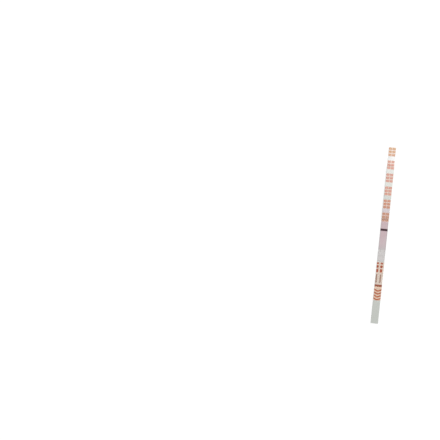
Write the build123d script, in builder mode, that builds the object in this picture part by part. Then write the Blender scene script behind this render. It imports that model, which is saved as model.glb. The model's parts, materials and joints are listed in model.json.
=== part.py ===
"""A drug test strip of the lateral-flow kind, lying flat with its printed side up.

A white plastic card carries, from the dip end to the handle end, a sample pad, a conjugate pad,
a membrane and an absorbent pad, each lapped over the next. A printed limit tape covers the pads
near the dip end, and a printed handle tape covers the absorbent pad and the bare card above it.
Such strips are laminated as a wide sheet and then slit, so every layer has the strip's width,
and each one is drawn as a side section and extruded across.

The dip end points to -Y, the handle end to +Y and the printed side to +Z. The origin is in the
middle of the card's underside. Sizes are in millimetres.
"""

import os

from build123d import *

# Lengths along the strip, from the dip end to the handle end
bare_pad_length = 10.7
limit_tape_length = 24.9
window_length = 13.1
handle_tape_length = 36.3
strip_width = 3.5

# Pads, and how far each one is lapped over its neighbour or covered by a tape's flat edge
conjugate_pad_length = 6.5
absorbent_pad_length = 25.0
sample_lap = 2.0
conjugate_lap = 1.5
absorbent_lap = 2.0
limit_tape_landing = 0.8
handle_tape_landing = 0.9

# Thicknesses
card_thickness = 0.28
membrane_thickness = 0.2
conjugate_thickness = 0.3
sample_thickness = 0.45
absorbent_thickness = 0.85
tape_thickness = 0.05
ink_thickness = 0.02

# Run of a bend for each millimetre that it climbs: a pad bends slowly, a tape closely
pad_bend = 3.0
tape_bend = 1.2

# The control line is dye caught in the top of the membrane, right across the strip
control_line_width = 1.0
control_line_depth = 0.06
control_line_below_tape = 3.6

# Print on the limit tape, measured up from its lower edge: arrows, a line, shafts and ticks
arrow_count = 4
arrow_pitch = 1.4
arrow_stroke = 0.65
arrow_rise = 0.85
arrow_nose_radius = 1.1
arrow_overrun = 1.4
lowest_arrow_height = 0.6
limit_line_width = 0.95
limit_line_height = 7.5
shaft_width = 0.55
shaft_length = 4.0
shaft_height = 10.9
tick_count = 3
tick_width = 1.0
lowest_tick_length = 1.6
tick_shortening = 0.4
tick_gap = 0.55
tick_corner_radius = 0.25
ticks_height = 13.9
column_pitch = 1.9
right_column_offset = 0.6

# Print on the handle tape: equal blocks of short bars, the first block near the end
block_pitch = 6.3
block_end_gap = 0.25
bar_columns = 2
bar_rows = 3
bar_width = 1.45
bar_length = 1.0
bar_column_gap = 0.3
bar_row_gap = 0.5
bar_corner_radius = 0.25

# Runs of the bends
conjugate_rise = pad_bend * membrane_thickness
sample_rise = pad_bend * conjugate_thickness
absorbent_fall = pad_bend * membrane_thickness
limit_tape_fall_to_pad = tape_bend * sample_thickness
limit_tape_fall_to_membrane = tape_bend * conjugate_thickness
handle_tape_rise = tape_bend * absorbent_thickness
handle_tape_fall = tape_bend * absorbent_thickness

# Distances from the dip end that follow from the lengths above
limit_tape_end = bare_pad_length + limit_tape_length
handle_tape_start = limit_tape_end + window_length
strip_length = handle_tape_start + handle_tape_length
conjugate_end = limit_tape_end - limit_tape_landing - limit_tape_fall_to_membrane
conjugate_start = conjugate_end - conjugate_pad_length
sample_end = conjugate_start + sample_lap
membrane_start = conjugate_end - conjugate_lap
absorbent_start = handle_tape_start + handle_tape_landing + handle_tape_rise
absorbent_end = absorbent_start + absorbent_pad_length
membrane_end = absorbent_start + absorbent_lap

# Levels of the faces that something lies on
card_top = card_thickness
membrane_top = card_top + membrane_thickness
conjugate_top = card_top + conjugate_thickness
conjugate_high_top = membrane_top + conjugate_thickness
sample_top = card_top + sample_thickness
sample_high_top = conjugate_top + sample_thickness
absorbent_top = card_top + absorbent_thickness
absorbent_high_top = membrane_top + absorbent_thickness

# Side sections are drawn on the left edge, and print in plan. Both start at the dip end.
side = Plane(origin=(-strip_width / 2, -strip_length / 2, 0), x_dir=(0, 1, 0), z_dir=(1, 0, 0))
plan = Plane(origin=(0, -strip_length / 2, 0), x_dir=(1, 0, 0), z_dir=(0, 0, 1))

# The underside of each layer, as (distance from the dip end, level). A change of level is a bend.
card_underside = [(0, 0), (strip_length, 0)]
membrane_underside = [(membrane_start, card_top), (membrane_end, card_top)]
conjugate_underside = [
    (conjugate_start, card_top),
    (membrane_start - conjugate_rise, card_top),
    (membrane_start, membrane_top),
    (conjugate_end, membrane_top),
]
sample_underside = [
    (0, card_top),
    (conjugate_start - sample_rise, card_top),
    (conjugate_start, conjugate_top),
    (sample_end, conjugate_top),
]
absorbent_underside = [
    (absorbent_start, membrane_top),
    (membrane_end, membrane_top),
    (membrane_end + absorbent_fall, card_top),
    (absorbent_end, card_top),
]
limit_tape_underside = [
    (bare_pad_length, sample_top),
    (conjugate_start - sample_rise, sample_top),
    (conjugate_start, sample_high_top),
    (sample_end, sample_high_top),
    (sample_end + limit_tape_fall_to_pad, conjugate_top),
    (membrane_start - conjugate_rise, conjugate_top),
    (membrane_start, conjugate_high_top),
    (conjugate_end, conjugate_high_top),
    (conjugate_end + limit_tape_fall_to_membrane, membrane_top),
    (limit_tape_end, membrane_top),
]
handle_tape_underside = [
    (handle_tape_start, membrane_top),
    (absorbent_start - handle_tape_rise, membrane_top),
    (absorbent_start, absorbent_high_top),
    (membrane_end, absorbent_high_top),
    (membrane_end + absorbent_fall, absorbent_top),
    (absorbent_end, absorbent_top),
    (absorbent_end + handle_tape_fall, card_top),
    (strip_length, card_top),
]


def raised(underside, thickness):
    """The same run of a layer, lifted by a thickness: the face that the next layer lies on."""
    return [(distance, level + thickness) for distance, level in underside]


def layer_section(underside, thickness):
    """The side section of a layer that follows its underside at an even height."""
    with BuildSketch(side) as section:
        with BuildLine():
            for face in (underside, raised(underside, thickness)):
                for (start, low), (end, high) in zip(face, face[1:]):
                    if low == high:
                        Line((start, low), (end, high))
                    else:
                        middle = (start + end) / 2
                        Bezier((start, low), (middle, low), (middle, high), (end, high))
            for distance, level in (underside[0], underside[-1]):
                Line((distance, level), (distance, level + thickness))
        make_face()
    return section.sketch


# The stripe of the control line, seen in plan
with BuildSketch(plan.offset(membrane_top - control_line_depth)) as control_stripe:
    with Locations((0, handle_tape_start - control_line_below_tape)):
        Rectangle(strip_width, control_line_width)

with BuildPart() as backing_card:
    extrude(layer_section(card_underside, card_thickness), amount=strip_width)
backing_card.part.label = "backing_card"

with BuildPart() as membrane:
    extrude(layer_section(membrane_underside, membrane_thickness), amount=strip_width)
    extrude(control_stripe.sketch, amount=control_line_depth, mode=Mode.SUBTRACT)
membrane.part.label = "membrane"

with BuildPart() as control_line:
    extrude(control_stripe.sketch, amount=control_line_depth)
control_line.part.label = "control_line"

with BuildPart() as conjugate_pad:
    extrude(layer_section(conjugate_underside, conjugate_thickness), amount=strip_width)
conjugate_pad.part.label = "conjugate_pad"

with BuildPart() as sample_pad:
    extrude(layer_section(sample_underside, sample_thickness), amount=strip_width)
sample_pad.part.label = "sample_pad"

with BuildPart() as absorbent_pad:
    extrude(layer_section(absorbent_underside, absorbent_thickness), amount=strip_width)
absorbent_pad.part.label = "absorbent_pad"

with BuildPart() as limit_tape:
    extrude(layer_section(limit_tape_underside, tape_thickness), amount=strip_width)
limit_tape.part.label = "limit_tape"

with BuildPart() as handle_tape:
    extrude(layer_section(handle_tape_underside, tape_thickness), amount=strip_width)
handle_tape.part.label = "handle_tape"

# Print is a film of ink that follows the tape under it, cut down to the marks seen in plan.
# Marks may run past the strip's edge there: the slitting knife cut them with the tape.
ink_reach = absorbent_high_top + tape_thickness + 2 * ink_thickness

with BuildPart() as limit_marks:
    ink_underside = raised(limit_tape_underside, tape_thickness)
    extrude(layer_section(ink_underside, ink_thickness), amount=strip_width)
    with BuildSketch(plan):
        arm_width = arrow_overrun * strip_width / 2
        for number in range(arrow_count):
            nose = bare_pad_length + lowest_arrow_height + number * arrow_pitch
            tail = nose + arrow_overrun * arrow_rise
            with BuildLine() as arrow:
                FilletPolyline(
                    (-arm_width, tail), (0, nose), (arm_width, tail), radius=arrow_nose_radius
                )
            trace(arrow.line, line_width=arrow_stroke)
        with Locations((0, bare_pad_length + limit_line_height)):
            Rectangle(strip_width, limit_line_width)
        for column in (right_column_offset - column_pitch, right_column_offset):
            with Locations((column, bare_pad_length + shaft_height)):
                Rectangle(shaft_width, shaft_length)
            tick_start = bare_pad_length + ticks_height
            for number in range(tick_count):
                tick_length = lowest_tick_length - number * tick_shortening
                with Locations((column, tick_start + tick_length / 2)):
                    RectangleRounded(tick_width, tick_length, tick_corner_radius)
                tick_start += tick_length + tick_gap
    extrude(amount=ink_reach, mode=Mode.INTERSECT)
limit_marks.part.label = "limit_marks"

bar_column_pitch = bar_width + bar_column_gap
bar_row_pitch = bar_length + bar_row_gap
block_length = bar_rows * bar_row_pitch - bar_row_gap
block_room = handle_tape_length - block_end_gap - block_length
block_count = 1 + int(block_room / block_pitch)
first_block_middle = strip_length - block_end_gap - block_length / 2
with BuildPart() as handle_marks:
    ink_underside = raised(handle_tape_underside, tape_thickness)
    extrude(layer_section(ink_underside, ink_thickness), amount=strip_width)
    with BuildSketch(plan):
        for number in range(block_count):
            with Locations((0, first_block_middle - number * block_pitch)):
                with GridLocations(bar_column_pitch, bar_row_pitch, bar_columns, bar_rows):
                    RectangleRounded(bar_width, bar_length, bar_corner_radius)
    extrude(amount=ink_reach, mode=Mode.INTERSECT)
handle_marks.part.label = "handle_marks"

pieces = (
    backing_card,
    membrane,
    control_line,
    conjugate_pad,
    sample_pad,
    absorbent_pad,
    limit_tape,
    handle_tape,
    limit_marks,
    handle_marks,
)
os.makedirs("parts", exist_ok=True)
for piece in pieces:
    export_step(piece.part, f"parts/{piece.part.label}.step")
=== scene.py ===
"""Dresses a drug test strip of the lateral-flow kind, which lies flat with its printed side up.

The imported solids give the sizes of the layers. The card, the three pads and the two tapes get
meshes of their own, with felted faces, stray fibres and smooth clear film. The membrane, the
control line and the print keep their solids. Each finish is made from nodes that read a point's
place on the piece.

The dip end points to -Y, the handle end to +Y and the printed side to +Z. Lengths are in metres,
and inside the finishes they are in millimetres.
"""

import json
import logging
import math
import random
from collections.abc import Iterable, Mapping, Sequence
from dataclasses import dataclass, field
from enum import Enum
from typing import Any, Union

import bmesh
import bpy
from mathutils import Matrix, Vector, noise

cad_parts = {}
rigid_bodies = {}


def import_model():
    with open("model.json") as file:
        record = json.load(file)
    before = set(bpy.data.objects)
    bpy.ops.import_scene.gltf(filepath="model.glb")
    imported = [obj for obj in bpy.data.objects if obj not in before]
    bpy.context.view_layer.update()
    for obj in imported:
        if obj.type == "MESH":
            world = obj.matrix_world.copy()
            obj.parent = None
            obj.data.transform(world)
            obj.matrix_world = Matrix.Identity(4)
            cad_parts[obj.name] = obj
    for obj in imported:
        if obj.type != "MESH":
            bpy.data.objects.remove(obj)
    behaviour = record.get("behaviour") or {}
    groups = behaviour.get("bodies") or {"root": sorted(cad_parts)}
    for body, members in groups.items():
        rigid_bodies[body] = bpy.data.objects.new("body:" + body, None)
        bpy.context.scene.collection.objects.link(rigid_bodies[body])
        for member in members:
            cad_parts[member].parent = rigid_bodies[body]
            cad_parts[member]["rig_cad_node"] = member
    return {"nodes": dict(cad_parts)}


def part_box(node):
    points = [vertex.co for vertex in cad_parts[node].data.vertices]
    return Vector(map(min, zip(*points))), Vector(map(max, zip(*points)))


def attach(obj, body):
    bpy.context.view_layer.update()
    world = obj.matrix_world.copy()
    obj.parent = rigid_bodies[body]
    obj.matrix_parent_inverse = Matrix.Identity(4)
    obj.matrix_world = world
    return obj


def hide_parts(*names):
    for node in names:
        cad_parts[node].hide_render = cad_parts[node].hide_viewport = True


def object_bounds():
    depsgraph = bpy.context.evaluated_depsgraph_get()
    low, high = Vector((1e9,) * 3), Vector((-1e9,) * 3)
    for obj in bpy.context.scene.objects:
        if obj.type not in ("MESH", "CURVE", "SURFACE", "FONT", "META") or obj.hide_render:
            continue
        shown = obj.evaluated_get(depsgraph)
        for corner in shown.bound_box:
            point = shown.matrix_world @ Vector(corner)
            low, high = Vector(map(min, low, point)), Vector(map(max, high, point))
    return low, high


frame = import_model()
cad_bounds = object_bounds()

MM = 0.001
HALF_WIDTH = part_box("backing_card")[1].x

log = logging.getLogger("test_strip")

Node = bpy.types.Node
Socket = bpy.types.NodeSocket
Colour = tuple[float, float, float, float]
Tone = Union[Colour, Socket]
Point = tuple[float, float]


def screen(red: float, green: float, blue: float) -> Colour:
    """Turns a colour as a screen shows it into the light that a shader works with.

    Args:
        red: The red share, from 0 to 255.
        green: The green share, from 0 to 255.
        blue: The blue share, from 0 to 255.

    Returns:
        The same colour in linear light, opaque.
    """

    def linear(channel: float) -> float:
        """Undoes the screen's curve for one channel."""
        share = channel / 255
        if share <= 0.04045:
            return share / 12.92
        return ((share + 0.055) / 1.055) ** 2.4

    return (linear(red), linear(green), linear(blue), 1.0)


def add_object(name: str, data: bpy.types.ID) -> bpy.types.Object:
    """Adds an object to the scene, at the origin."""
    made = bpy.data.objects.new(name, data)
    bpy.context.scene.collection.objects.link(made)
    return made


class Slot(Enum):
    """The record's material slots, which name the finishes."""

    CARD = "card_plastic"
    MEMBRANE = "membrane_felt"
    LINE = "line_dye"
    CONJUGATE = "conjugate_fibre"
    SAMPLE = "pad_fibre"
    WICK = "wick_fibre"
    LIMIT_FILM = "limit_film"
    HANDLE_FILM = "handle_film"
    LIMIT_INK = "limit_ink"
    HANDLE_INK = "handle_ink"


class Signal:
    """A number that varies over a surface, with Python's operators as Math nodes."""

    def __init__(self, graph: "Graph", socket: Socket) -> None:
        """Keeps the socket that carries the number, and the graph that it belongs to."""
        self.graph = graph
        self.socket = socket

    def __add__(self, other: "Number") -> "Signal":
        """Adds a number or another signal."""
        return self.graph.maths("ADD", self, other)

    def __sub__(self, other: "Number") -> "Signal":
        """Takes a number or another signal away."""
        return self.graph.maths("SUBTRACT", self, other)

    def __rsub__(self, other: "Number") -> "Signal":
        """Is taken away from a number."""
        return self.graph.maths("SUBTRACT", other, self)

    def __mul__(self, other: "Number") -> "Signal":
        """Multiplies by a number or another signal."""
        return self.graph.maths("MULTIPLY", self, other)

    def __truediv__(self, other: "Number") -> "Signal":
        """Divides by a number or another signal."""
        return self.graph.maths("DIVIDE", self, other)

    def __pow__(self, other: "Number") -> "Signal":
        """Raises to a power."""
        return self.graph.maths("POWER", self, other)

    def __abs__(self) -> "Signal":
        """Drops the sign."""
        return self.graph.maths("ABSOLUTE", self)

    __radd__ = __add__

    def between(self, low: float, high: float) -> "Signal":
        """Climbs smoothly from 0 at the low value to 1 at the high one.

        Args:
            low: The value that gives 0.
            high: The value that gives 1, which may be the smaller of the two.

        Returns:
            The share, from 0 to 1.
        """
        if low > high:
            return 1 - self.between(high, low)
        node = self.graph.node(
            "ShaderNodeMapRange",
            {"interpolation_type": "SMOOTHSTEP"},
            {"Value": self, "From Min": low, "From Max": high},
        )
        return Signal(self.graph, node.outputs["Result"])


Number = Union[Signal, float]


class Graph:
    """The node tree of one material or of the world."""

    def __init__(self, tree: bpy.types.NodeTree) -> None:
        """Empties the tree."""
        self.tree = tree
        self.tree.nodes.clear()

    def node(
        self,
        kind: str,
        settings: Mapping[str, Any] | None = None,
        inputs: Mapping[str | int, Any] | None = None,
    ) -> Node:
        """Adds a node.

        Args:
            kind: The node's type.
            settings: What is set before the sockets. A ramp's stops are pairs of a place and a
                colour.
            inputs: A value, a signal or a socket for each named or numbered input.

        Returns:
            The new node.
        """
        node = self.tree.nodes.new(kind)
        for name, value in (settings or {}).items():
            if name != "stops":
                setattr(node, name, value)
                continue
            elements = node.color_ramp.elements
            while len(elements) < len(value):
                elements.new(1.0)
            for element, (place, colour) in zip(elements, value):
                element.position = place
                element.color = colour
        for name, value in (inputs or {}).items():
            socket = node.inputs[name]
            if isinstance(value, Signal):
                value = value.socket
            if isinstance(value, Socket):
                self.tree.links.new(value, socket)
            else:
                socket.default_value = value
        return node

    def maths(self, operation: str, *values: Number) -> Signal:
        """Adds a Math node on signals and numbers."""
        node = self.node("ShaderNodeMath", {"operation": operation}, dict(enumerate(values)))
        return Signal(self, node.outputs[0])

    def place(
        self,
        unit: Sequence[float] = (1.0, 1.0, 1.0),
        turn: Sequence[float] = (0.0, 0.0, 0.0),
    ) -> Socket:
        """Gives a point's place on the piece, counted in a unit of its own for each axis.

        Args:
            unit: The length along each axis that counts as one, in millimetres.
            turn: The turn of the pattern about each axis, in radians.

        Returns:
            The socket of the place.
        """
        coordinates = self.node("ShaderNodeTexCoord")
        mapping = self.node(
            "ShaderNodeMapping",
            {"vector_type": "POINT"},
            {
                "Vector": coordinates.outputs["Object"],
                "Scale": tuple(1 / (length * MM) for length in unit),
                "Rotation": tuple(turn),
            },
        )
        return mapping.outputs["Vector"]

    def axes(self) -> tuple[Signal, Signal, Signal]:
        """Gives a point's place across, along and above the strip, in millimetres."""
        split = self.node("ShaderNodeSeparateXYZ", {}, {0: self.place()})
        return tuple(Signal(self, output) for output in split.outputs)

    def near_edge(self, across: Signal, reach: float, past: float = 0.0) -> Signal:
        """Climbs from 0, a reach inside the slit edges, to 1 at them, or past or short of them."""
        half = HALF_WIDTH / MM
        return abs(across).between(half - reach, half + past)

    def clouds(
        self,
        patch: Union[float, Sequence[float]],
        detail: float = 3.0,
        roughness: float = 0.55,
        distortion: float = 0.0,
        turn: Sequence[float] = (0.0, 0.0, 0.0),
    ) -> Signal:
        """Gives a soft random pattern from 0 to 1.

        Args:
            patch: The size of a patch, or its size along each axis, in millimetres.
            detail: How many finer patterns are laid over it.
            roughness: How strong those are.
            distortion: How far the patches are twisted.
            turn: The turn of the pattern about each axis, in radians.

        Returns:
            The pattern.
        """
        sizes = (patch, patch, patch) if isinstance(patch, float) else patch
        node = self.node(
            "ShaderNodeTexNoise",
            {"noise_dimensions": "3D"},
            {
                "Vector": self.place(sizes, turn),
                "Scale": 1.0,
                "Detail": detail,
                "Roughness": roughness,
                "Distortion": distortion,
            },
        )
        return Signal(self, node.outputs[0])

    def grain(self, size: float) -> Signal:
        """Gives a fine even grain from 0 to 1, of a size in millimetres."""
        return self.clouds(size, detail=2.0)

    def filaments(self, pitch: float, length: float, degrees: float) -> Signal:
        """Gives thin bright lines that run one way, as fibres do.

        Args:
            pitch: How far apart the lines are, in millimetres.
            length: How long a line is, in millimetres.
            degrees: The turn of the lines from the strip's length, in plan.

        Returns:
            The pattern, 1 on the middle of a line.
        """
        turn = (0.0, 0.0, math.radians(degrees))
        size = (pitch, length, pitch)
        pattern = self.clouds(size, detail=1.0, roughness=0.5, distortion=0.6, turn=turn)
        sharpness = 5
        return (1 - abs(pattern * 2 - 1)) ** sharpness

    def mix(self, share: Number, first: Tone, second: Tone) -> Socket:
        """Mixes two colours.

        Args:
            share: How much of the second colour there is.
            first: The colour at a share of 0.
            second: The colour at a share of 1.

        Returns:
            The socket of the mixed colour.
        """
        node = self.node(
            "ShaderNodeMix",
            {"data_type": "RGBA", "blend_type": "MIX", "clamp_factor": True},
            {0: share, 6: first, 7: second},
        )
        return node.outputs[2]

    def ramp(self, place: Signal, stops: Sequence[tuple[float, Colour]]) -> Socket:
        """Gives the colour at a place between stops.

        Args:
            place: Where along the strip the point is, in millimetres.
            stops: Pairs of such a place and its colour, in order.

        Returns:
            The socket of the colour.
        """
        start, end = stops[0][0], stops[-1][0]
        shares = [((stop - start) / (end - start), colour) for stop, colour in stops]
        share = (place - start) / (end - start)
        return self.node("ShaderNodeValToRGB", {"stops": shares}, {0: share}).outputs[0]

    def bump(self, height: Signal, depth: float, strength: float) -> Socket:
        """Gives the normals of a relief.

        Args:
            height: The relief, from 0 to 1.
            depth: How deep it really is, in millimetres.
            strength: How much of it shows.

        Returns:
            The socket of the normals.
        """
        inputs = {"Height": height, "Distance": depth * MM, "Strength": strength}
        return self.node("ShaderNodeBump", {}, inputs).outputs[0]

    def opaque(
        self,
        colour: Socket,
        roughness: Number,
        mirroring: float,
        normal: Socket | None = None,
    ) -> Node:
        """Adds the shader of an opaque finish.

        Args:
            colour: The socket of its colour.
            roughness: How dull it is, from 0 to 1.
            mirroring: How much light it mirrors, where 0.5 is usual for smooth plastic.
            normal: The socket of the normals of its relief, if it has any.

        Returns:
            The shader.
        """
        inputs = {"Base Color": colour, "Roughness": roughness, "Specular IOR Level": mirroring}
        if normal is not None:
            inputs["Normal"] = normal
        return self.node("ShaderNodeBsdfPrincipled", {}, inputs)

    def blend(self, share: Union[Number, Socket], first: Node, second: Node) -> Node:
        """Mixes two shaders. At a share of 0 there is only the first, and at 1 the second."""
        inputs = {0: share, 1: first.outputs[0], 2: second.outputs[0]}
        return self.node("ShaderNodeMixShader", {}, inputs)

    def surface(self, shader: Node) -> None:
        """Sends a shader to the material's output."""
        self.node("ShaderNodeOutputMaterial", {}, {"Surface": shader.outputs[0]})


@dataclass(frozen=True)
class Span:
    """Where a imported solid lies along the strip, and its lowest and highest level."""

    start: float
    end: float
    bottom: float
    top: float

    @classmethod
    def of(cls, node: str) -> "Span":
        """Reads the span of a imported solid."""
        low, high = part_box(node)
        return cls(low.y, high.y, low.z, high.z)

    @classmethod
    def kept(cls, node: str) -> Any:
        """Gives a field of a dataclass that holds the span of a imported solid."""
        return field(default_factory=lambda: cls.of(node))

    def distance(self, along: Signal) -> Signal:
        """Gives how far along the strip a point is from the solid's middle, in millimetres."""
        return abs(along - (self.start + self.end) / 2 / MM)

    @property
    def half(self) -> float:
        """Half the solid's length, in millimetres."""
        return (self.end - self.start) / 2 / MM


@dataclass(frozen=True)
class Finish:
    """A finish that is laid on pieces of one slot."""

    slot: Slot

    def material(self) -> bpy.types.Material:
        """Makes the material of this finish."""
        made = bpy.data.materials.new(self.slot.value)
        made.use_nodes = True
        graph = Graph(made.node_tree)
        graph.surface(self.shader(graph))
        return made

    def shader(self, graph: Graph) -> Node:
        """Builds the shader. Each finish has its own."""
        raise NotImplementedError

    def dress(self, *pieces: bpy.types.Object) -> None:
        """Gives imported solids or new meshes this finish, and names its slot on new meshes."""
        made = self.material()
        for piece in pieces:
            if piece.material_slots:
                piece.material_slots[0].material = made
            else:
                piece.data.materials.append(made)
            log.info("%s wears %s", piece.name, self.slot.value)


@dataclass(frozen=True)
class Plastic(Finish):
    """White card plastic with a satin skin, greyer at its cut edges where the glue shows."""

    face: Colour = screen(249, 250, 249)
    edge: Colour = screen(226, 227, 224)
    glue_level: float = 0.25

    def shader(self, graph: Graph) -> Node:
        """Builds the plastic."""
        across, _, above = graph.axes()
        cut = graph.near_edge(across, reach=0.025, past=-0.01)
        glue = cut * above.between(self.glue_level - 0.02, self.glue_level)
        haze = graph.clouds((1.8, 4.0, 1.8), detail=4.0)
        shade = (cut * 0.35 + glue * 0.5 + (haze - 0.5) * 0.3).between(0.0, 1.0)
        return graph.opaque(
            graph.mix(shade, self.face, self.edge),
            roughness=haze * 0.12 + 0.3 + cut * 0.3,
            mirroring=0.45,
            normal=graph.bump(graph.grain(0.09), depth=0.002, strength=0.5),
        )


@dataclass(frozen=True)
class Felt(Finish):
    """Pressed fibres, with painted shade at the slit edges. The colour changes from stop to stop
    along the strip.
    """

    stops: tuple[tuple[float, Colour], ...] = ()
    fibre_pitch: float = 0.12
    depth: float = 0.03
    contrast: float = 0.2
    edge_width: float = 0.4
    # The pore tone is also the colour of the painted shade at the slit edges.
    pore_and_shade_tone: Colour = screen(150, 152, 148)
    hair: Colour = screen(236, 236, 231)

    def shader(self, graph: Graph) -> Node:
        """Builds the felt: dark pores, pale fibres that run three ways, and painted shade towards
        the slit edges.
        """
        across, along, _ = graph.axes()
        ground = graph.ramp(along, self.stops)
        pitch = self.fibre_pitch
        lines = graph.filaments(pitch, pitch * 6, degrees=12) * 0.4
        lines = lines + graph.filaments(pitch, pitch * 5, degrees=-48) * 0.35
        lines = lines + graph.filaments(pitch * 1.2, pitch * 6, degrees=71) * 0.35
        mottle = graph.clouds((0.5, 0.9, 0.5), detail=4.0, roughness=0.6, distortion=0.4)
        holes = graph.clouds(pitch, roughness=0.6, distortion=0.8)
        dark = (holes.between(0.52, 0.3) * 0.55 + (mottle - 0.5) * 0.35) * self.contrast
        pored = graph.mix(dark, ground, self.pore_and_shade_tone)
        # Painted shade: the felt darkens towards its slit edges, mixed towards the pore tone.
        edge = graph.near_edge(across, self.edge_width) * 0.16
        shaded = graph.mix(edge, pored, self.pore_and_shade_tone)
        coloured = graph.mix(lines * self.contrast, shaded, self.hair)
        normal = graph.bump(lines * 0.6 + holes * 0.5, self.depth, strength=0.6)
        return graph.opaque(coloured, roughness=0.95, mirroring=0.15, normal=normal)


@dataclass(frozen=True)
class StainedMembrane(Finish):
    """Matt white membrane, stained mauve in streaks that run with the flow, with a painted shadow
    past the limit tape.
    """

    stops: tuple[tuple[float, Colour], ...] = (
        (-7.3, screen(207, 204, 202)),
        # Painted shadow: this darker stop lies just past where the limit tape ends.
        (-6.9, screen(198, 191, 191)),
        (-5.9, screen(201, 187, 190)),
        (-3.9, screen(207, 187, 191)),
        (-1.9, screen(205, 182, 187)),
        (6.2, screen(208, 183, 188)),
    )
    pale: Colour = screen(214, 206, 206)
    grey: Colour = screen(182, 176, 177)
    halo: Colour = screen(150, 120, 128)
    halo_width: float = 0.45
    edge_width: float = 0.6
    line: Span = Span.kept("control_line")

    def shader(self, graph: Graph) -> Node:
        """Builds the membrane, with a faint halo where the line's dye bled."""
        across, along, _ = graph.axes()
        streaks = graph.clouds((0.28, 7.0, 0.28), detail=4.0, roughness=0.6)
        drift = graph.clouds((1.6, 3.2, 1.6))
        shade = (streaks - 0.5) * 1.5 + (drift - 0.5) * 0.9 + 0.22
        base = graph.mix(shade.between(0.0, 1.0), graph.ramp(along, self.stops), self.pale)
        side = graph.near_edge(across, self.edge_width) * 0.6
        edged = graph.mix(side, base, self.grey)
        away = self.line.distance(along) - self.line.half
        bled = graph.mix(away.between(self.halo_width, 0.0) * 0.3, edged, self.halo)
        height = graph.grain(0.035) + streaks * 0.5
        normal = graph.bump(height, depth=0.004, strength=0.5)
        return graph.opaque(bled, roughness=0.72, mirroring=0.25, normal=normal)


@dataclass(frozen=True)
class LineDye(Finish):
    """Dark dye that the membrane caught, with edges that are a little paler and uneven."""

    core: Colour = screen(66, 44, 50)
    rim: Colour = screen(122, 92, 100)
    unevenness: float = 0.25
    line: Span = Span.kept("control_line")

    def shader(self, graph: Graph) -> Node:
        """Builds the dye."""
        across, along, _ = graph.axes()
        wander = graph.clouds((0.22, 0.5, 0.22))
        grain = graph.grain(0.035)
        away = self.line.distance(along) + (wander - 0.5) * self.unevenness
        edge = away.between(self.line.half - 0.18, self.line.half + 0.02)
        ends = graph.near_edge(across, reach=0.2, past=0.03) * 0.5
        worn = (edge + ends + (grain - 0.5) * 0.2).between(0.0, 1.1)
        dye = graph.mix(worn, self.core, self.rim)
        normal = graph.bump(grain, depth=0.004, strength=0.5)
        return graph.opaque(dye, roughness=0.7, mirroring=0.25, normal=normal)


@dataclass(frozen=True)
class Hair(Finish):
    """Loose pale fibres."""

    tone: Colour = screen(226, 228, 224)
    dusty: Colour = screen(205, 207, 202)

    def shader(self, graph: Graph) -> Node:
        """Builds the fibres, some dustier than others."""
        dust = graph.grain(0.3).between(0.3, 0.7)
        colour = graph.mix(dust, self.tone, self.dusty)
        return graph.opaque(colour, roughness=0.9, mirroring=0.2)


@dataclass(frozen=True)
class Ink(Finish):
    """Print ink on film: a thin coat with a faint grain, a slight shine and uneven patches."""

    stops: tuple[tuple[float, Colour], ...] = ()
    bare: Colour = screen(240, 208, 186)
    deep: Colour = screen(172, 74, 44)
    wear: float = 0.28
    flecks: float = 0.45

    def shader(self, graph: Graph) -> Node:
        """Builds the ink, which is stronger in some marks than in others."""
        _, along, _ = graph.axes()
        patches = graph.clouds(0.5, detail=4.0, roughness=0.6)
        specks = graph.grain(0.05)
        lack = ((patches - 0.5) * 1.4 + (specks - 0.5) * 0.9 + 0.25).between(0.0, 1.0)
        worn = graph.mix(lack * self.wear, graph.ramp(along, self.stops), self.bare)
        thick = graph.clouds(0.42, detail=1.0)
        coat = graph.mix(thick.between(0.56, 0.72) * self.flecks, worn, self.deep)
        normal = graph.bump(specks, depth=0.002, strength=0.4)
        return graph.opaque(coat, roughness=specks * 0.2 + 0.3, mirroring=0.4, normal=normal)


@dataclass(frozen=True)
class PrintField:
    """A pale field of the print's colour in a tape, which comes again at every pitch.

    The middle, the half length, the pitch and the softness are in millimetres along the strip.
    """

    strength: float
    middle: float
    half: float
    pitch: float = 100.0
    softness: float = 0.4

    def share(self, graph: Graph, along: Signal) -> Signal:
        """Gives how much of the tint there is."""
        away = graph.maths("PINGPONG", along - self.middle, self.pitch / 2)
        cover = away.between(self.half + self.softness, self.half)
        blotches = graph.clouds(0.7)
        return cover * (blotches * 0.5 + 0.75) * self.strength


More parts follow.
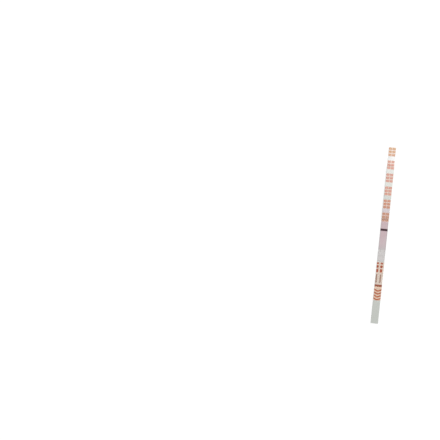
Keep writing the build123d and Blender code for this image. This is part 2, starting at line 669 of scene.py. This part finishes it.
@dataclass(frozen=True)
class ClearFilm(Finish):
    """Clear film: the layers below show through a faint veil and pale fields, under a shine."""

    tint: Colour = screen(255, 178, 100)
    fields: tuple[PrintField, ...] = ()
    veil_colour: Colour = screen(244, 243, 240)
    veil: float = 0.05
    shine_roughness: float = 0.16
    refractive_index: float = 1.45

    def shader(self, graph: Graph) -> Node:
        """Builds the film. Only its outer face shows, and it leaves the light below it alone."""
        _, along, _ = graph.axes()
        wrinkles = graph.clouds((0.9, 2.6, 0.9), roughness=0.5)
        dust = graph.grain(0.12)
        normal = graph.bump(wrinkles + dust * 0.15, depth=0.012, strength=0.5)
        clear = graph.node("ShaderNodeBsdfTransparent")
        tinted = sum(part.share(graph, along) for part in self.fields)
        veil = dust * 0.04 + self.veil + tinted
        haze = graph.node(
            "ShaderNodeBsdfDiffuse",
            {},
            {"Color": graph.mix(tinted / veil, self.veil_colour, self.tint), "Normal": normal},
        )
        body = graph.blend(veil, clear, haze)
        shine = graph.node(
            "ShaderNodeBsdfGlossy",
            {},
            {"Color": (1.0, 1.0, 1.0, 1.0), "Roughness": self.shine_roughness, "Normal": normal},
        )
        inputs = {"IOR": self.refractive_index, "Normal": normal}
        slant = graph.node("ShaderNodeFresnel", {}, inputs)
        outer = graph.blend(slant.outputs[0], body, shine)
        inner_side = graph.node("ShaderNodeNewGeometry").outputs["Backfacing"]
        film = graph.blend(inner_side, outer, clear)
        seen = graph.node("ShaderNodeLightPath").outputs["Is Camera Ray"]
        return graph.blend(seen, clear, film)


@dataclass(frozen=True)
class Course:
    """The underside of a layer: flats, joined by smooth bends where the level changes.

    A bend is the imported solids' own curve, a Bezier that leaves and arrives level, with its two
    inner points halfway along.
    """

    points: tuple[Point, ...]
    least_rise: float = 0.001 * MM

    def stations(self, step: float, steps_per_bend: int) -> list[Point]:
        """Gives points along the course, close enough to draw it.

        Args:
            step: The longest distance between two stations on a flat.
            steps_per_bend: How many stations a bend has.

        Returns:
            Pairs of a distance along the strip and a level.
        """
        found = [self.points[0]]
        for (start, low), (end, high) in zip(self.points, self.points[1:]):
            run, rise = end - start, high - low
            bends = abs(rise) > self.least_rise
            count = steps_per_bend if bends else math.ceil(run / step)
            for number in range(1, count + 1):
                share = number / count
                if bends:
                    along = 1.5 * share * (1 - share) + share**3
                    up = 3 * share**2 - 2 * share**3
                else:
                    along, up = share, 0.0
                found.append((start + run * along, low + rise * up))
        return found


@dataclass(frozen=True)
class Build:
    """How the layers lie on each other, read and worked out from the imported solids.

    Only two values aren't read from them: how far a pad's or a tape's bend runs for each
    millimetre that it climbs. They are the ones that the solids are made with.
    """

    pad_bend: float = 3.0
    tape_bend: float = 1.2
    card: Span = Span.kept("backing_card")
    membrane: Span = Span.kept("membrane")
    conjugate: Span = Span.kept("conjugate_pad")
    sample: Span = Span.kept("sample_pad")
    absorbent: Span = Span.kept("absorbent_pad")
    limit_tape: Span = Span.kept("limit_tape")
    handle_tape: Span = Span.kept("handle_tape")

    @property
    def conjugate_thickness(self) -> float:
        """The thickness of the conjugate pad."""
        return self.conjugate.top - self.membrane.top

    @property
    def conjugate_low_top(self) -> float:
        """The top of the conjugate pad where it lies on the card."""
        return self.card.top + self.conjugate_thickness

    @property
    def sample_thickness(self) -> float:
        """The thickness of the sample pad."""
        return self.sample.top - self.conjugate_low_top

    @property
    def sample_low_top(self) -> float:
        """The top of the sample pad where it lies on the card."""
        return self.card.top + self.sample_thickness

    @property
    def absorbent_thickness(self) -> float:
        """The thickness of the absorbent pad."""
        return self.absorbent.top - self.membrane.top

    @property
    def absorbent_low_top(self) -> float:
        """The top of the absorbent pad where it lies on the card."""
        return self.card.top + self.absorbent_thickness

    @property
    def tape_thickness(self) -> float:
        """The thickness of either tape."""
        return self.limit_tape.top - self.sample.top

    @property
    def membrane_rise(self) -> float:
        """The run of a pad's bend on to the membrane."""
        return self.pad_bend * (self.membrane.top - self.card.top)

    @property
    def conjugate_rise(self) -> float:
        """The run of the sample pad's bend on to the conjugate pad."""
        return self.pad_bend * self.conjugate_thickness

    def conjugate_course(self) -> Course:
        """Follows the card, then the membrane."""
        return Course((
            (self.conjugate.start, self.card.top),
            (self.membrane.start - self.membrane_rise, self.card.top),
            (self.membrane.start, self.membrane.top),
            (self.conjugate.end, self.membrane.top),
        ))

    def sample_course(self) -> Course:
        """Follows the card, then the conjugate pad."""
        return Course((
            (self.sample.start, self.card.top),
            (self.conjugate.start - self.conjugate_rise, self.card.top),
            (self.conjugate.start, self.conjugate_low_top),
            (self.sample.end, self.conjugate_low_top),
        ))

    def absorbent_course(self) -> Course:
        """Follows the membrane, then the card."""
        return Course((
            (self.absorbent.start, self.membrane.top),
            (self.membrane.end, self.membrane.top),
            (self.membrane.end + self.membrane_rise, self.card.top),
            (self.absorbent.end, self.card.top),
        ))

    def limit_tape_course(self) -> Course:
        """Follows the sample pad, the conjugate pad and the membrane."""
        to_conjugate = self.sample.end + self.tape_bend * self.sample_thickness
        to_membrane = self.conjugate.end + self.tape_bend * self.conjugate_thickness
        return Course((
            (self.limit_tape.start, self.sample_low_top),
            (self.conjugate.start - self.conjugate_rise, self.sample_low_top),
            (self.conjugate.start, self.sample.top),
            (self.sample.end, self.sample.top),
            (to_conjugate, self.conjugate_low_top),
            (self.membrane.start - self.membrane_rise, self.conjugate_low_top),
            (self.membrane.start, self.conjugate.top),
            (self.conjugate.end, self.conjugate.top),
            (to_membrane, self.membrane.top),
            (self.limit_tape.end, self.membrane.top),
        ))

    def handle_tape_course(self) -> Course:
        """Follows the membrane, the absorbent pad and the bare card."""
        run = self.tape_bend * self.absorbent_thickness
        return Course((
            (self.handle_tape.start, self.membrane.top),
            (self.absorbent.start - run, self.membrane.top),
            (self.absorbent.start, self.absorbent.top),
            (self.membrane.end, self.absorbent.top),
            (self.membrane.end + self.membrane_rise, self.absorbent_low_top),
            (self.absorbent.end, self.absorbent_low_top),
            (self.absorbent.end + run, self.card.top),
            (self.handle_tape.end, self.card.top),
        ))


class Piece:
    """Turns a bmesh into a piece of the strip."""

    @staticmethod
    def finish(name: str, mesh: bmesh.types.BMesh, sharp_degrees: float = 40) -> bpy.types.Object:
        """Makes the object, with its faces outwards, and lets it ride with the strip.

        Args:
            name: The piece's name.
            mesh: The mesh, in its place. It is freed.
            sharp_degrees: An edge that turns by more than this stays crisp.

        Returns:
            The new object.
        """
        bmesh.ops.recalc_face_normals(mesh, faces=mesh.faces)
        data = bpy.data.meshes.new(name)
        mesh.to_mesh(data)
        mesh.free()
        data.shade_smooth()
        data.set_sharp_from_angle(angle=math.radians(sharp_degrees))
        made = add_object(name, data)
        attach(made, "root")
        log.info("%s has %d faces", name, len(data.polygons))
        return made


@dataclass
class BackingCard:
    """The plastic card that carries every layer."""

    build: Build
    edge_round: float = 0.012 * MM
    name: str = "card_sheet"

    def make(self) -> bpy.types.Object:
        """Builds the card with eased edges."""
        span = self.build.card
        size = Vector((2 * HALF_WIDTH, span.end - span.start, span.top - span.bottom))
        middle = Vector((0, (span.start + span.end) / 2, (span.bottom + span.top) / 2))
        mesh = bmesh.new()
        place = Matrix.Translation(middle) @ Matrix.Diagonal((*size, 1))
        bmesh.ops.create_cube(mesh, size=1, matrix=place)
        bmesh.ops.bevel(
            mesh,
            geom=mesh.edges[:],
            offset=self.edge_round,
            offset_type="OFFSET",
            segments=2,
            profile=0.5,
            affect="EDGES",
            material=-1,
        )
        made = Piece.finish(self.name, mesh)
        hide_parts("backing_card")
        return made


@dataclass
class Layer:
    """A layer with the strip's width that follows a course along it."""

    name: str
    node: str
    course: Course
    thickness: float
    columns: int
    rows: int
    step: float
    steps_per_bend: int

    def sweep(self, lift: float = 0.0) -> tuple[bmesh.types.BMesh, Any]:
        """Draws the layer's end section and extrudes it along the course.

        Args:
            lift: How far the layer's underside is above the course. Its top stays where it is.

        Returns:
            The mesh, and its values that tell how high in the layer a vertex is, from 0 to 1.
        """
        (along, level), *others = self.course.stations(self.step, self.steps_per_bend)
        height = self.thickness - lift
        middle = Vector((0, along, level + lift + height / 2))
        upright = Matrix.Rotation(math.radians(90), 4, "X")
        stretch = Matrix.Diagonal((2 * HALF_WIDTH, height, 1, 1))
        mesh = bmesh.new()
        share = mesh.verts.layers.float.new("share_of_height")
        bmesh.ops.create_grid(
            mesh,
            x_segments=self.columns,
            y_segments=self.rows,
            size=0.5,
            matrix=Matrix.Translation(middle) @ upright @ stretch,
        )
        for vertex in mesh.verts:
            vertex[share] = (vertex.co.z - level - lift) / height
        front = mesh.faces[:] + mesh.edges[:]
        for next_along, next_level in others:
            grown = bmesh.ops.extrude_face_region(mesh, geom=front)["geom"]
            moved = [part for part in grown if isinstance(part, bmesh.types.BMVert)]
            front = [part for part in grown if not isinstance(part, bmesh.types.BMVert)]
            shift = Vector((0, next_along - along, next_level - level))
            bmesh.ops.translate(mesh, vec=shift, verts=moved)
            along, level = next_along, next_level
        return mesh, share


@dataclass
class FeltPad(Layer):
    """A pad of pressed fibres. Its faces are uneven, and the knife left its sides ragged."""

    columns: int = 26
    rows: int = 5
    step: float = 0.13 * MM
    steps_per_bend: int = 10
    relief: float = 0.03 * MM
    ragged: float = 0.035 * MM
    crush: float = 0.035 * MM
    crush_reach: float = 0.3 * MM
    cover: float = 0.008 * MM
    lumps_per_mm: float = 2.2
    grains_per_mm: float = 9.0
    lump_share: float = 0.45
    grain_share: float = 0.5

    def make(self) -> bpy.types.Object:
        """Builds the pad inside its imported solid."""
        mesh, share = self.sweep()
        self.roughen(mesh, share)
        made = Piece.finish(self.name, mesh, sharp_degrees=60)
        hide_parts(self.node)
        return made

    def roughen(self, mesh: bmesh.types.BMesh, share: Any) -> None:
        """Sinks the pad's faces by uneven amounts, so that it stays inside its solid.

        Args:
            mesh: The swept pad.
            share: The values that tell how high in the pad a vertex is.
        """
        start, end = self.course.points[0][0], self.course.points[-1][0]
        near = 0.01 * MM
        for vertex in mesh.verts:
            place = vertex.co / MM
            lump = noise.noise(place * self.lumps_per_mm) * self.lump_share
            grain = noise.noise(place * self.grains_per_mm) * self.grain_share
            dent = min(1.0, max(0.0, 0.5 + lump + grain))
            ends = min(vertex.co.y - start, end - vertex.co.y)
            rim = min(HALF_WIDTH - abs(vertex.co.x), ends)
            pressed = max(0.0, 1 - rim / self.crush_reach) ** 2
            sink = (self.cover + self.relief * dent + self.crush * pressed) * vertex[share] ** 3
            side = math.copysign(1, vertex.co.x)
            if HALF_WIDTH - abs(vertex.co.x) < near:
                vertex.co.x -= side * self.ragged * dent
            if ends < near:
                vertex.co.y += math.copysign(self.ragged * dent, (start + end) / 2 - vertex.co.y)
            vertex.co.z -= sink


@dataclass
class Fibres:
    """Loose fibres that stand out of a pad's cut faces, each a thin closed thread."""

    name: str
    pad: FeltPad
    seed: int
    side_count: int
    end_count: int = 0
    top_count: int = 0
    bare_until: float = 0.0
    radius: float = 0.008 * MM
    sides: int = 3
    steps: int = 4
    reach: float = 0.09 * MM
    end_reach: float = 0.3 * MM
    longest: float = 0.6 * MM
    side_root: float = 0.04 * MM
    end_root: float = 0.05 * MM
    root_heights: tuple[float, float] = (0.1, 0.85)
    side_arc: float = math.radians(140)
    top_lift: float = 0.8
    taper: float = 0.85

    @property
    def shares(self) -> list[float]:
        """How far along a fibre each of its points is, from 0 at the root to 1 at the tip."""
        return [number / self.steps for number in range(self.steps + 1)]

    def make(self) -> bpy.types.Object:
        """Builds all the fibres of one pad as one piece."""
        chance = random.Random(self.seed)
        mesh = bmesh.new()
        stations = self.pad.course.stations(step=0.2 * MM, steps_per_bend=8)
        for _ in range(self.side_count):
            self.strand(mesh, self.side_path(chance, stations))
        for _ in range(self.end_count):
            self.strand(mesh, self.end_path(chance))
        for _ in range(self.top_count):
            self.strand(mesh, self.top_path(chance))
        return Piece.finish(self.name, mesh, sharp_degrees=80)

    def side_path(self, chance: random.Random, stations: list[Point]) -> list[Vector]:
        """Runs along a slit side, and stands out of it a little in the middle."""
        along, level = chance.choice(stations)
        side = chance.choice((-1, 1))
        height = level + self.pad.thickness * chance.uniform(*self.root_heights)
        length = chance.uniform(0.35, 1.0) * self.longest * chance.choice((-1, 1))
        reach = self.reach * chance.uniform(0.3, 1.0)
        rise = chance.uniform(-0.12, 0.12) * self.pad.thickness
        root = Vector((side * (HALF_WIDTH - self.side_root), along, height))
        path = []
        for share in self.shares:
            out = side * reach * math.sin(share * self.side_arc)
            path.append(root + Vector((out, length * share, rise * share)))
        return path

    def end_path(self, chance: random.Random) -> list[Vector]:
        """Stands out of the pad's dip end, and curls to one side."""
        start, level = self.pad.course.points[0]
        across = chance.uniform(-0.97, 0.97) * HALF_WIDTH
        height = level + self.pad.thickness * chance.uniform(*self.root_heights)
        reach = self.end_reach * chance.uniform(0.25, 1.0)
        curl = chance.uniform(-0.5, 0.5) * self.end_reach
        rise = chance.uniform(-0.15, 0.15) * self.pad.thickness
        root = Vector((across, start + self.end_root, height))
        return [
            root + Vector((curl * share**2, -reach * share, rise * share)) for share in self.shares
        ]

    def top_path(self, chance: random.Random) -> list[Vector]:
        """Lies on the bare top of the pad in a flat arch."""
        start, level = self.pad.course.points[0]
        top = level + self.pad.thickness - self.pad.cover - self.pad.relief
        heading = chance.uniform(0, 2 * math.pi)
        length = chance.uniform(0.4, 1.0) * self.longest
        forward = Vector((math.cos(heading), math.sin(heading), 0))
        bend = Vector((-forward.y, forward.x, 0)) * chance.uniform(-0.3, 0.3) * length
        room = HALF_WIDTH - self.longest
        root = Vector((chance.uniform(-room, room), 0, top))
        root.y = chance.uniform(start + self.longest, self.bare_until - self.longest)
        path = []
        for share in self.shares:
            arch = math.sin(share * math.pi)
            lift = Vector((0, 0, self.top_lift * self.pad.relief * arch))
            path.append(root + forward * length * share + bend * arch + lift)
        return path

    def strand(self, mesh: bmesh.types.BMesh, path: Sequence[Vector]) -> None:
        """Extrudes a thin ring along a path and closes both ends.

        Args:
            mesh: The mesh that the thread joins.
            path: The middle of the thread, from its root to its tip.
        """
        heading = (path[-1] - path[0]).to_track_quat("Z", "X").to_matrix().to_4x4()
        ring = bmesh.ops.create_circle(
            mesh,
            cap_ends=True,
            segments=self.sides,
            radius=self.radius,
            matrix=Matrix.Translation(path[0]) @ heading,
        )["verts"]
        edges = list({edge for vertex in ring for edge in vertex.link_edges})
        for here, there in zip(path, path[1:]):
            grown = bmesh.ops.extrude_edge_only(mesh, edges=edges)["geom"]
            ring = [part for part in grown if isinstance(part, bmesh.types.BMVert)]
            edges = [part for part in grown if isinstance(part, bmesh.types.BMEdge)]
            bmesh.ops.translate(mesh, vec=there - here, verts=ring)
            to_middle = Matrix.Translation(-there)
            shrink = Vector((self.taper, self.taper, self.taper))
            bmesh.ops.scale(mesh, vec=shrink, space=to_middle, verts=ring)
        bmesh.ops.contextual_create(mesh, geom=edges)


@dataclass
class Tape(Layer):
    """A clear tape, laid over pads of different height."""

    columns: int = 8
    rows: int = 1
    step: float = 1.5 * MM
    steps_per_bend: int = 28
    gap: float = 0.004 * MM

    def make(self) -> bpy.types.Object:
        """Builds the tape, a hair above what it covers, with its top where the solid's is."""
        mesh, _ = self.sweep(self.gap)
        made = Piece.finish(self.name, mesh)
        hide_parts(self.node)
        return made


@dataclass
class Strip:
    """The whole strip."""

    build: Build = field(default_factory=Build)

    def make(self) -> None:
        """Builds and dresses every layer, from the card up."""
        build, nodes = self.build, frame["nodes"]
        Plastic(Slot.CARD).dress(BackingCard(build).make())
        StainedMembrane(Slot.MEMBRANE).dress(nodes["membrane"])
        LineDye(Slot.LINE).dress(nodes["control_line"])
        self.make_conjugate_pad()
        self.make_sample_pad()
        self.make_absorbent_pad()
        self.make_tapes()
        self.limit_ink().dress(nodes["limit_marks"])
        self.handle_ink().dress(nodes["handle_marks"])

    def limit_ink(self) -> Ink:
        """Gives the ink of the arrows, the line, the shafts and the ticks, from the dip end up."""
        arrows, line = screen(184, 94, 54), screen(146, 58, 14)
        shafts, ticks = screen(158, 122, 104), screen(172, 68, 26)
        stops = (
            (-31.3, arrows),
            (-25.2, arrows),
            (-24.9, line),
            (-23.5, line),
            (-23.2, shafts),
            (-18.6, shafts),
            (-18.3, ticks),
            (-13.0, ticks),
        )
        return Ink(Slot.LIMIT_INK, stops)

    def handle_ink(self) -> Ink:
        """Gives the ink of the blocks, which looks darker over the wick's stained end, with
        painted light at its low end.
        """
        stops = (
            # Painted light: the first stop is paler, where the lowest block climbs the tape's
            # shaded slope on to the wick.
            (7.0, screen(206, 160, 136)),
            (9.0, screen(198, 148, 122)),
            (15.0, screen(210, 146, 118)),
            (21.3, screen(226, 164, 148)),
            (27.7, screen(224, 166, 152)),
            (34.0, screen(232, 174, 160)),
            (37.5, screen(228, 176, 152)),
            (40.2, screen(226, 182, 142)),
        )
        return Ink(Slot.HANDLE_INK, stops)

    def make_conjugate_pad(self) -> None:
        """Builds the thin pad between the sample pad and the membrane."""
        build = self.build
        course = build.conjugate_course()
        pad = FeltPad("conjugate_felt", "conjugate_pad", course, build.conjugate_thickness)
        stops = (-14.6, screen(205, 200, 199)), (-8.1, screen(206, 201, 201))
        Felt(Slot.CONJUGATE, stops).dress(pad.make())

    def make_sample_pad(self) -> None:
        """Builds the pad that is dipped, with its bare end."""
        build = self.build
        pad = FeltPad("sample_felt", "sample_pad", build.sample_course(), build.sample_thickness)
        fibres = Fibres(
            "sample_fibres",
            pad,
            seed=11,
            side_count=260,
            end_count=46,
            top_count=60,
            bare_until=build.limit_tape.start,
        )
        stops = (
            (-42.5, screen(197, 201, 195)),
            (-32.0, screen(200, 203, 197)),
            (-31.0, screen(206, 206, 202)),
            (-12.6, screen(208, 206, 203)),
        )
        Felt(Slot.SAMPLE, stops).dress(pad.make())
        Hair(Slot.SAMPLE).dress(fibres.make())

    def make_absorbent_pad(self) -> None:
        """Builds the wick at the far end of the membrane, stained where the liquid came in, and
        paler towards the handle end.
        """
        build = self.build
        course, thickness = build.absorbent_course(), build.absorbent_thickness
        pad = FeltPad("absorbent_felt", "absorbent_pad", course, thickness, rows=8)
        fibres = Fibres("absorbent_fibres", pad, seed=23, side_count=240)
        stops = (
            # Mauve at the membrane end, then greyer and paler towards the handle end.
            (8.1, screen(200, 182, 186)),
            (11.6, screen(218, 204, 210)),
            (17.4, screen(215, 218, 213)),
            (24.6, screen(234, 236, 229)),
            (31.2, screen(241, 243, 238)),
        )
        Felt(Slot.WICK, stops).dress(pad.make())
        Hair(Slot.WICK).dress(fibres.make())

    def make_tapes(self) -> None:
        """Builds the two clear tapes."""
        build = self.build
        limit_film = ClearFilm(
            Slot.LIMIT_FILM,
            screen(255, 178, 100),
            (
                PrintField(strength=0.34, middle=-28.1, half=3.1),
                PrintField(strength=0.2, middle=-21.6, half=3.2),
                PrintField(strength=0.27, middle=-15.6, half=2.4),
            ),
        )
        handle_film = ClearFilm(
            Slot.HANDLE_FILM,
            screen(246, 184, 150),
            (PrintField(strength=0.36, middle=40.25, half=2.0, pitch=6.3),),
        )
        tapes = (
            ("limit_tape", build.limit_tape_course(), limit_film),
            ("handle_tape", build.handle_tape_course(), handle_film),
        )
        for node, course, film in tapes:
            tape = Tape(f"{node}_film", node, course, build.tape_thickness)
            film.dress(tape.make())


@dataclass
class Studio:
    """The white floor, the soft light and the camera straight above."""

    picture_side: float = 440
    strip_middle: Point = (383.6, 235.3)
    strip_pixels: float = 177.2
    strip_tilt: float = math.radians(5.96)
    strip_length: float = cad_bounds[1].y - cad_bounds[0].y
    lens: float = 200
    sensor: float = 36
    floor_side: float = 4.0
    floor_tone: float = 0.5
    floor_glow: float = 0.6
    sky_share: float = 0.86
    lamp_share: float = 0.2
    lamp_place: tuple[float, float, float] = (0.85, 0.75, 2.3)
    lamp_side: float = 1.0

    def make(self) -> None:
        """Sets up everything round the strip."""
        self.set_view_transform()
        self.make_floor()
        self.make_sky()
        self.make_lamp()
        self.make_camera()

    def set_view_transform(self) -> None:
        """Lets colours through to the screen as they are."""
        bpy.context.scene.view_settings.view_transform = "Standard"

    def seen_rays(self, graph: Graph) -> Signal:
        """Gives 1 for rays that the camera or a shiny or clear face sends, and 0 for light."""
        path = graph.node("ShaderNodeLightPath")
        kinds = ("Is Camera Ray", "Is Glossy Ray", "Is Transmission Ray")
        camera, glossy, through = (Signal(graph, path.outputs[kind]) for kind in kinds)
        return graph.maths("MINIMUM", camera + glossy + through, 1.0)

    def make_floor(self) -> None:
        """Lays a white floor that still takes the strip's shadow."""
        mesh = bmesh.new()
        bmesh.ops.create_grid(mesh, x_segments=1, y_segments=1, size=self.floor_side / 2)
        data = bpy.data.meshes.new("floor")
        mesh.to_mesh(data)
        mesh.free()
        floor = add_object("floor", data)
        material = bpy.data.materials.new("white_floor")
        material.use_nodes = True
        graph = Graph(material.node_tree)
        tone = (self.floor_tone, self.floor_tone, self.floor_tone, 1.0)
        matt = graph.node("ShaderNodeBsdfDiffuse", {}, {"Color": tone})
        glow = graph.node(
            "ShaderNodeEmission", {}, {"Strength": self.seen_rays(graph) * self.floor_glow}
        )
        both = graph.node("ShaderNodeAddShader", {}, {0: matt.outputs[0], 1: glow.outputs[0]})
        graph.surface(both)
        data.materials.append(material)

    def make_sky(self) -> None:
        """Gives even light from all round, and white where the camera sees past the floor."""
        world = bpy.data.worlds.new("sky")
        world.use_nodes = True
        graph = Graph(world.node_tree)
        strength = self.seen_rays(graph) * (1 - self.sky_share) + self.sky_share
        sky = graph.node("ShaderNodeBackground", {}, {"Strength": strength})
        graph.node("ShaderNodeOutputWorld", {}, {"Surface": sky.outputs[0]})
        bpy.context.scene.world = world

    def make_lamp(self) -> None:
        """Hangs one large soft lamp, whose light adds its share on a level white face."""
        place = Vector(self.lamp_place)
        lamp = bpy.data.lights.new("soft_lamp", "AREA")
        lamp.size = self.lamp_side
        slant = place.z / place.length
        lamp.energy = self.lamp_share * 4 * math.pi * place.length_squared / slant
        made = add_object("soft_lamp", lamp)
        made.location = place
        made.rotation_euler = (-place).to_track_quat("-Z", "Y").to_euler()

    def make_camera(self) -> None:
        """Puts the camera straight above the picture's middle, turned by the strip's tilt."""
        pixel = self.strip_length / self.strip_pixels
        right = (self.strip_middle[0] - self.picture_side / 2) * pixel
        down = (self.strip_middle[1] - self.picture_side / 2) * pixel
        turn = Matrix.Rotation(self.strip_tilt, 4, "Z")
        middle = turn @ Vector((-right, down, 0))
        height = cad_bounds[1].z + self.lens / self.sensor * self.picture_side * pixel
        camera = bpy.data.cameras.new("camera")
        camera.lens = self.lens
        camera.sensor_width = self.sensor
        camera.clip_start = 0.05
        camera.clip_end = 20
        made = add_object("camera", camera)
        made.location = middle + Vector((0, 0, height))
        made.rotation_euler = (0, 0, self.strip_tilt)
        bpy.context.scene.camera = made


def main() -> None:
    """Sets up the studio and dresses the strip."""
    logging.basicConfig(level=logging.INFO, format="%(message)s")
    Studio().make()
    Strip().make()


if __name__ == "__main__":
    main()
